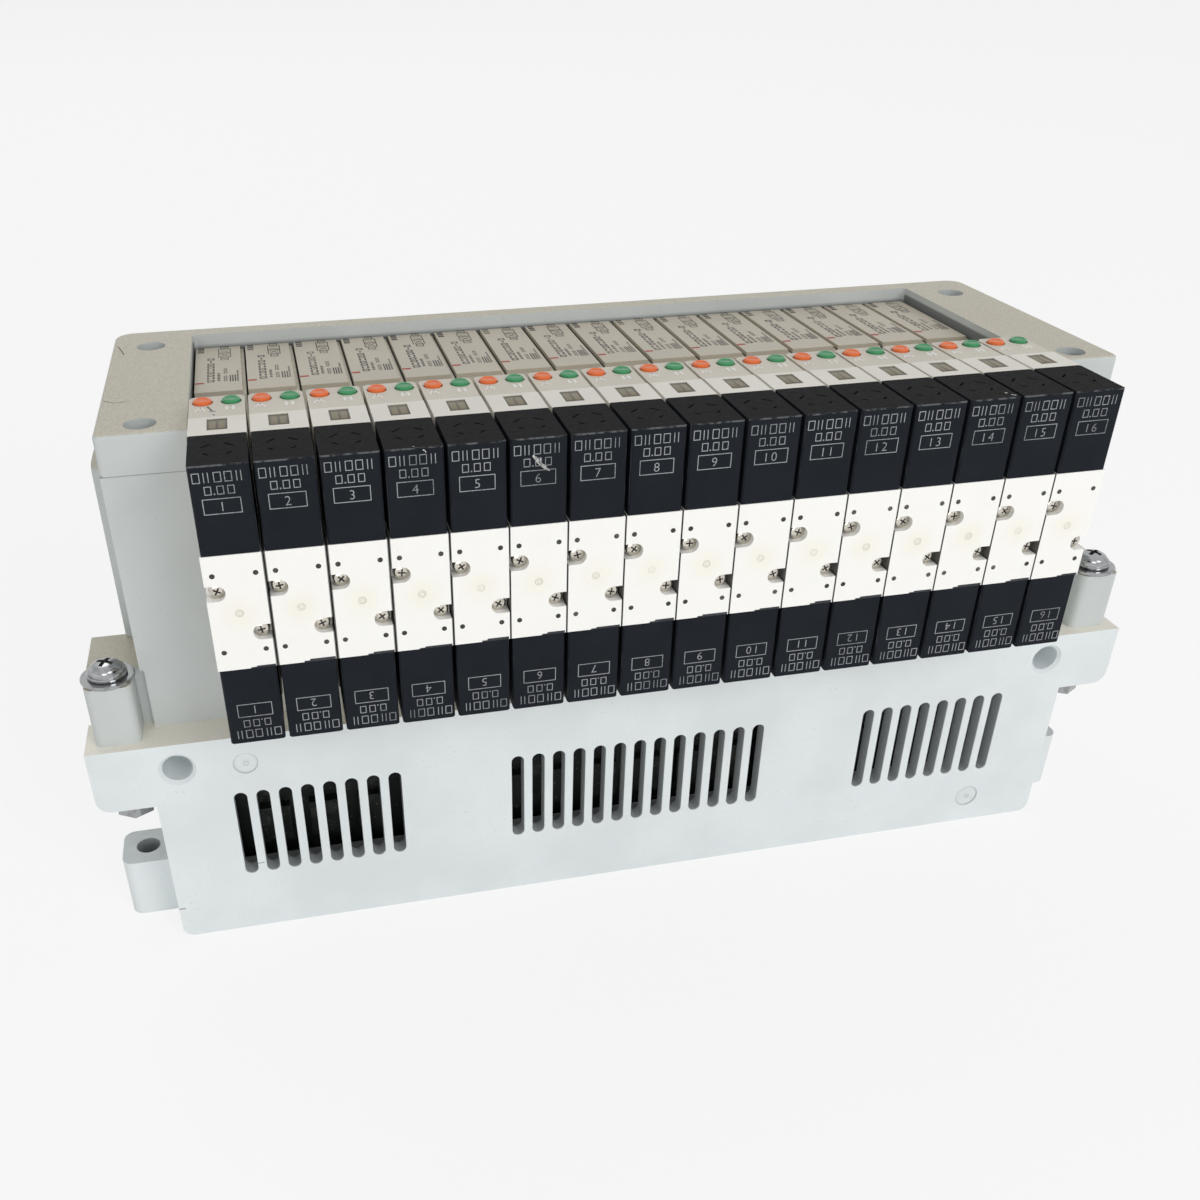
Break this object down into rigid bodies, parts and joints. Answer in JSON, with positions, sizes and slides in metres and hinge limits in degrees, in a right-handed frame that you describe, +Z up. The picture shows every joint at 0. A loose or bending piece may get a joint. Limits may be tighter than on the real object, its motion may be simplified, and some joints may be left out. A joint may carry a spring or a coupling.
{
  "type": "pneumatic valve island",
  "caption": "Bank of slim base-mounted pneumatic valves between end blocks on a vented electrical housing, with press overrides, push-in tube fittings at the rear and fixing lugs",
  "frame": {"origin": "middle of the footprint on the surface it stands on", "axes": "+X along the row of valves from its left end to its right end, -Y the way the pilots face, +Z up"},
  "size_m": [0.226, 0.1, 0.1139],
  "materials": {
    "housing_plastic": "light grey moulded resin, fine satin grain",
    "end_grey": "light grey moulded resin, fine satin grain",
    "manifold_grey": "light grey moulded resin",
    "valve_beige": "warm light grey moulded resin",
    "label_beige": "printed plate, matt",
    "lamp_cover_white": "off-white moulded resin, satin",
    "override_grey": "warm light grey moulded resin",
    "coil_black": "black moulded resin, satin",
    "plate_white": "white moulded resin, satin",
    "black_plastic": "black insulating resin",
    "fitting_grey": "grey moulded fittings",
    "button_orange": "orange moulded resin",
    "button_green": "green moulded resin",
    "lens_smoke": "smoke-tinted clear resin",
    "lamp_clear": "clear lamp bodies",
    "gasket_rubber": "black sheet rubber",
    "board_green": "dark green circuit board",
    "nickel": "nickel-plated steel",
    "chrome_screw": "bright zinc or chrome plated steel"
  },
  "bodies": {
    "island": {"circuit_board": "board_green", "clamp_nuts": "chrome_screw", "clamp_screws": "chrome_screw", "clamp_washers": "chrome_screw", "connector_insert": "black_plastic", "connector_shell": "nickel", "end_block_left": "end_grey", "end_block_right": "end_grey", "end_covers": "end_grey", "foot_frame": "housing_plastic", "front_housing": "housing_plastic", "label_plates": "label_beige", "lamp_covers": "lamp_cover_white", "lamps": "lamp_clear", "lower_pilots": "coil_black", "manifold_base": "manifold_grey", "override_plates": "override_grey", "pilot_plates": "plate_white", "plate_screws": "nickel", "port_block": "manifold_grey", "port_fittings": "fitting_grey", "side_plates": "end_grey", "supply_fittings": "fitting_grey", "top_frame": "end_grey", "upper_pilots": "coil_black", "valve_bodies": "valve_beige", "valve_gaskets": "gasket_rubber", "window_lenses": "lens_smoke"},
    "override_a_01": {"override_a_01": "button_orange"},
    "override_a_02": {"override_a_02": "button_orange"},
    "override_a_03": {"override_a_03": "button_orange"},
    "override_a_04": {"override_a_04": "button_orange"},
    "override_a_05": {"override_a_05": "button_orange"},
    "override_a_06": {"override_a_06": "button_orange"},
    "override_a_07": {"override_a_07": "button_orange"},
    "override_a_08": {"override_a_08": "button_orange"},
    "override_a_09": {"override_a_09": "button_orange"},
    "override_a_10": {"override_a_10": "button_orange"},
    "override_a_11": {"override_a_11": "button_orange"},
    "override_a_12": {"override_a_12": "button_orange"},
    "override_a_13": {"override_a_13": "button_orange"},
    "override_a_14": {"override_a_14": "button_orange"},
    "override_a_15": {"override_a_15": "button_orange"},
    "override_a_16": {"override_a_16": "button_orange"},
    "override_b_01": {"override_b_01": "button_green"},
    "override_b_02": {"override_b_02": "button_green"},
    "override_b_03": {"override_b_03": "button_green"},
    "override_b_04": {"override_b_04": "button_green"},
    "override_b_05": {"override_b_05": "button_green"},
    "override_b_06": {"override_b_06": "button_green"},
    "override_b_07": {"override_b_07": "button_green"},
    "override_b_08": {"override_b_08": "button_green"},
    "override_b_09": {"override_b_09": "button_green"},
    "override_b_10": {"override_b_10": "button_green"},
    "override_b_11": {"override_b_11": "button_green"},
    "override_b_12": {"override_b_12": "button_green"},
    "override_b_13": {"override_b_13": "button_green"},
    "override_b_14": {"override_b_14": "button_green"},
    "override_b_15": {"override_b_15": "button_green"},
    "override_b_16": {"override_b_16": "button_green"}
  },
  "joints": [
    {"name": "press_a_01", "type": "slide", "parent": "island", "child": "override_a_01", "axis": [0, 0, 1], "range_m": [-0.001, 0], "stiffness_N_per_m": 500},
    {"name": "press_a_02", "type": "slide", "parent": "island", "child": "override_a_02", "axis": [0, 0, 1], "range_m": [-0.001, 0], "stiffness_N_per_m": 500},
    {"name": "press_a_03", "type": "slide", "parent": "island", "child": "override_a_03", "axis": [0, 0, 1], "range_m": [-0.001, 0], "stiffness_N_per_m": 500},
    {"name": "press_a_04", "type": "slide", "parent": "island", "child": "override_a_04", "axis": [0, 0, 1], "range_m": [-0.001, 0], "stiffness_N_per_m": 500},
    {"name": "press_a_05", "type": "slide", "parent": "island", "child": "override_a_05", "axis": [0, 0, 1], "range_m": [-0.001, 0], "stiffness_N_per_m": 500},
    {"name": "press_a_06", "type": "slide", "parent": "island", "child": "override_a_06", "axis": [0, 0, 1], "range_m": [-0.001, 0], "stiffness_N_per_m": 500},
    {"name": "press_a_07", "type": "slide", "parent": "island", "child": "override_a_07", "axis": [0, 0, 1], "range_m": [-0.001, 0], "stiffness_N_per_m": 500},
    {"name": "press_a_08", "type": "slide", "parent": "island", "child": "override_a_08", "axis": [0, 0, 1], "range_m": [-0.001, 0], "stiffness_N_per_m": 500},
    {"name": "press_a_09", "type": "slide", "parent": "island", "child": "override_a_09", "axis": [0, 0, 1], "range_m": [-0.001, 0], "stiffness_N_per_m": 500},
    {"name": "press_a_10", "type": "slide", "parent": "island", "child": "override_a_10", "axis": [0, 0, 1], "range_m": [-0.001, 0], "stiffness_N_per_m": 500},
    {"name": "press_a_11", "type": "slide", "parent": "island", "child": "override_a_11", "axis": [0, 0, 1], "range_m": [-0.001, 0], "stiffness_N_per_m": 500},
    {"name": "press_a_12", "type": "slide", "parent": "island", "child": "override_a_12", "axis": [0, 0, 1], "range_m": [-0.001, 0], "stiffness_N_per_m": 500},
    {"name": "press_a_13", "type": "slide", "parent": "island", "child": "override_a_13", "axis": [0, 0, 1], "range_m": [-0.001, 0], "stiffness_N_per_m": 500},
    {"name": "press_a_14", "type": "slide", "parent": "island", "child": "override_a_14", "axis": [0, 0, 1], "range_m": [-0.001, 0], "stiffness_N_per_m": 500},
    {"name": "press_a_15", "type": "slide", "parent": "island", "child": "override_a_15", "axis": [0, 0, 1], "range_m": [-0.001, 0], "stiffness_N_per_m": 500},
    {"name": "press_a_16", "type": "slide", "parent": "island", "child": "override_a_16", "axis": [0, 0, 1], "range_m": [-0.001, 0], "stiffness_N_per_m": 500},
    {"name": "press_b_01", "type": "slide", "parent": "island", "child": "override_b_01", "axis": [0, 0, 1], "range_m": [-0.001, 0], "stiffness_N_per_m": 500},
    {"name": "press_b_02", "type": "slide", "parent": "island", "child": "override_b_02", "axis": [0, 0, 1], "range_m": [-0.001, 0], "stiffness_N_per_m": 500},
    {"name": "press_b_03", "type": "slide", "parent": "island", "child": "override_b_03", "axis": [0, 0, 1], "range_m": [-0.001, 0], "stiffness_N_per_m": 500},
    {"name": "press_b_04", "type": "slide", "parent": "island", "child": "override_b_04", "axis": [0, 0, 1], "range_m": [-0.001, 0], "stiffness_N_per_m": 500},
    {"name": "press_b_05", "type": "slide", "parent": "island", "child": "override_b_05", "axis": [0, 0, 1], "range_m": [-0.001, 0], "stiffness_N_per_m": 500},
    {"name": "press_b_06", "type": "slide", "parent": "island", "child": "override_b_06", "axis": [0, 0, 1], "range_m": [-0.001, 0], "stiffness_N_per_m": 500},
    {"name": "press_b_07", "type": "slide", "parent": "island", "child": "override_b_07", "axis": [0, 0, 1], "range_m": [-0.001, 0], "stiffness_N_per_m": 500},
    {"name": "press_b_08", "type": "slide", "parent": "island", "child": "override_b_08", "axis": [0, 0, 1], "range_m": [-0.001, 0], "stiffness_N_per_m": 500},
    {"name": "press_b_09", "type": "slide", "parent": "island", "child": "override_b_09", "axis": [0, 0, 1], "range_m": [-0.001, 0], "stiffness_N_per_m": 500},
    {"name": "press_b_10", "type": "slide", "parent": "island", "child": "override_b_10", "axis": [0, 0, 1], "range_m": [-0.001, 0], "stiffness_N_per_m": 500},
    {"name": "press_b_11", "type": "slide", "parent": "island", "child": "override_b_11", "axis": [0, 0, 1], "range_m": [-0.001, 0], "stiffness_N_per_m": 500},
    {"name": "press_b_12", "type": "slide", "parent": "island", "child": "override_b_12", "axis": [0, 0, 1], "range_m": [-0.001, 0], "stiffness_N_per_m": 500},
    {"name": "press_b_13", "type": "slide", "parent": "island", "child": "override_b_13", "axis": [0, 0, 1], "range_m": [-0.001, 0], "stiffness_N_per_m": 500},
    {"name": "press_b_14", "type": "slide", "parent": "island", "child": "override_b_14", "axis": [0, 0, 1], "range_m": [-0.001, 0], "stiffness_N_per_m": 500},
    {"name": "press_b_15", "type": "slide", "parent": "island", "child": "override_b_15", "axis": [0, 0, 1], "range_m": [-0.001, 0], "stiffness_N_per_m": 500},
    {"name": "press_b_16", "type": "slide", "parent": "island", "child": "override_b_16", "axis": [0, 0, 1], "range_m": [-0.001, 0], "stiffness_N_per_m": 500}
  ]
}
